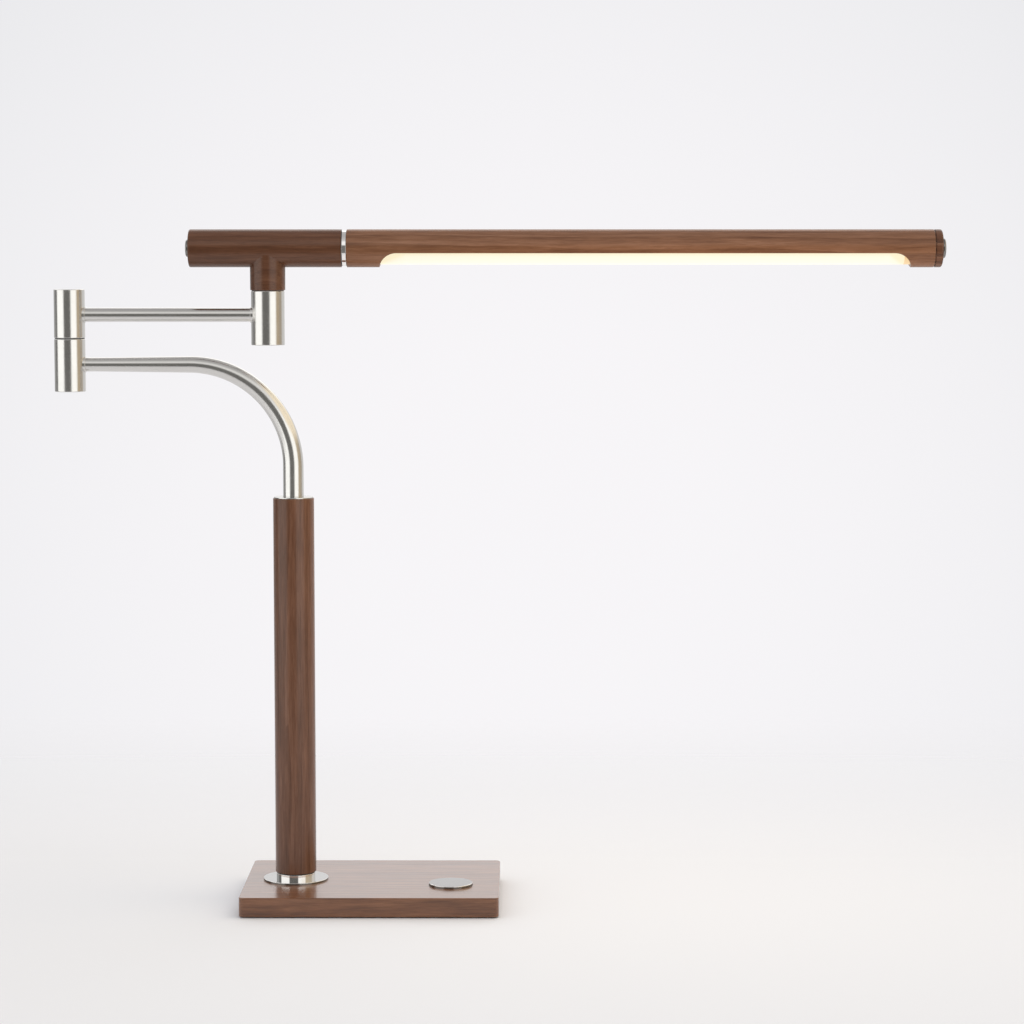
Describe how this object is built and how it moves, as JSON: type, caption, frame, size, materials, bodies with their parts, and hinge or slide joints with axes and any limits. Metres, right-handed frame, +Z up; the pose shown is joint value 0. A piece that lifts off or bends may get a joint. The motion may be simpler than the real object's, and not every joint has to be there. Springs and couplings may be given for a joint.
{
  "type": "table lamp",
  "caption": "Swing-arm table lamp: round wooden light bar that swivels and rolls on a folding bright steel arm, over a wooden post and a flat weighted base with a push button.",
  "frame": {"origin": "on the table, under the middle of the base", "axes": "+X along the light bar at rest towards its free end, +Y to the back of the base, +Z up"},
  "size_m": [0.6923, 0.14, 0.5272],
  "materials": {
    "walnut": "satin lacquered walnut with the grain along each piece",
    "polished_steel": "polished bright nickel plate",
    "plain_steel": "plain zinc plated steel",
    "cover_paint": "black powder coat",
    "pad_rubber": "matte black rubber",
    "friction_washer": "black slippery plastic",
    "bearing_brass": "turned brass",
    "plug_aluminium": "plain extruded aluminium",
    "board_laminate": "green glass-fibre board",
    "sheet_film": "white insulating film",
    "switch_plastic": "black moulded plastic",
    "strip_white": "white solder mask",
    "chip_phosphor": "yellow phosphor under clear resin",
    "opal_diffuser": "opal plastic that spreads the light",
    "stop_plastic": "beige plastic that the light shines into",
    "lead_sleeve": "black insulated lead"
  },
  "bodies": {
    "base": {"base_block": "walnut", "base_weight": "plain_steel", "base_cover": "cover_paint", "cover_screws": "plain_steel", "base_pad": "pad_rubber", "board_sheet": "sheet_film", "driver_board": "board_laminate", "push_switch": "switch_plastic", "button_guide": "bearing_brass", "cord_gland": "pad_rubber", "post_flange": "polished_steel", "flange_screws": "plain_steel", "post_gasket": "pad_rubber", "post_sleeve": "walnut", "post_pipe": "plain_steel", "arm_socket": "polished_steel", "curved_arm": "polished_steel", "lower_barrel": "polished_steel", "lower_barrel_cap": "polished_steel", "elbow_bolt": "plain_steel", "elbow_washer": "friction_washer", "elbow_spring": "plain_steel", "elbow_nut": "plain_steel", "elbow_stop_pin": "plain_steel", "arm_lead": "lead_sleeve"},
    "button": {"push_button": "polished_steel", "button_clip": "plain_steel"},
    "fold_arm": {"upper_barrel": "polished_steel", "upper_barrel_cap": "polished_steel", "upper_arm": "polished_steel", "head_barrel": "polished_steel", "head_barrel_cap": "polished_steel", "upper_lead": "lead_sleeve"},
    "head": {"head_stem": "plain_steel", "neck_insert": "bearing_brass", "head_washer": "friction_washer", "head_spring": "plain_steel", "head_nut": "plain_steel", "head_stop_pin": "plain_steel", "tee_body": "walnut", "tee_button": "polished_steel", "tee_bush": "bearing_brass", "roll_washer": "friction_washer", "roll_stop_pin": "plain_steel", "head_lead": "lead_sleeve"},
    "bar": {"roll_spring": "plain_steel", "roll_nut": "plain_steel", "roll_axle": "plain_steel", "bar_plug": "plug_aluminium", "swivel_ring": "polished_steel", "light_bar": "walnut", "led_carrier": "plug_aluminium", "led_strip": "strip_white", "led_chips": "chip_phosphor", "diffuser": "opal_diffuser", "diffuser_stop": "stop_plastic", "bar_end_cap": "walnut", "bar_button": "polished_steel", "bar_lead": "lead_sleeve"}
  },
  "joints": [
    {"name": "elbow_swing", "type": "hinge", "parent": "base", "child": "fold_arm", "pos_m": [-0.2345, 0, 0.4426], "axis": [0, 0, 1], "range_deg": [-155, 155]},
    {"name": "head_swivel", "type": "hinge", "parent": "fold_arm", "child": "head", "pos_m": [-0.08, 0, 0.4798], "axis": [0, 0, 1], "range_deg": [-155, 155]},
    {"name": "bar_roll", "type": "hinge", "parent": "head", "child": "bar", "pos_m": [-0.0221, 0, 0.5125], "axis": [1, 0, 0], "range_deg": [-90, 90]},
    {"name": "button_press", "type": "slide", "parent": "base", "child": "button", "axis": [0, 0, -1], "range_m": [0, 0.0007], "stiffness_N_per_m": 800, "springref_m": -0.001}
  ]
}
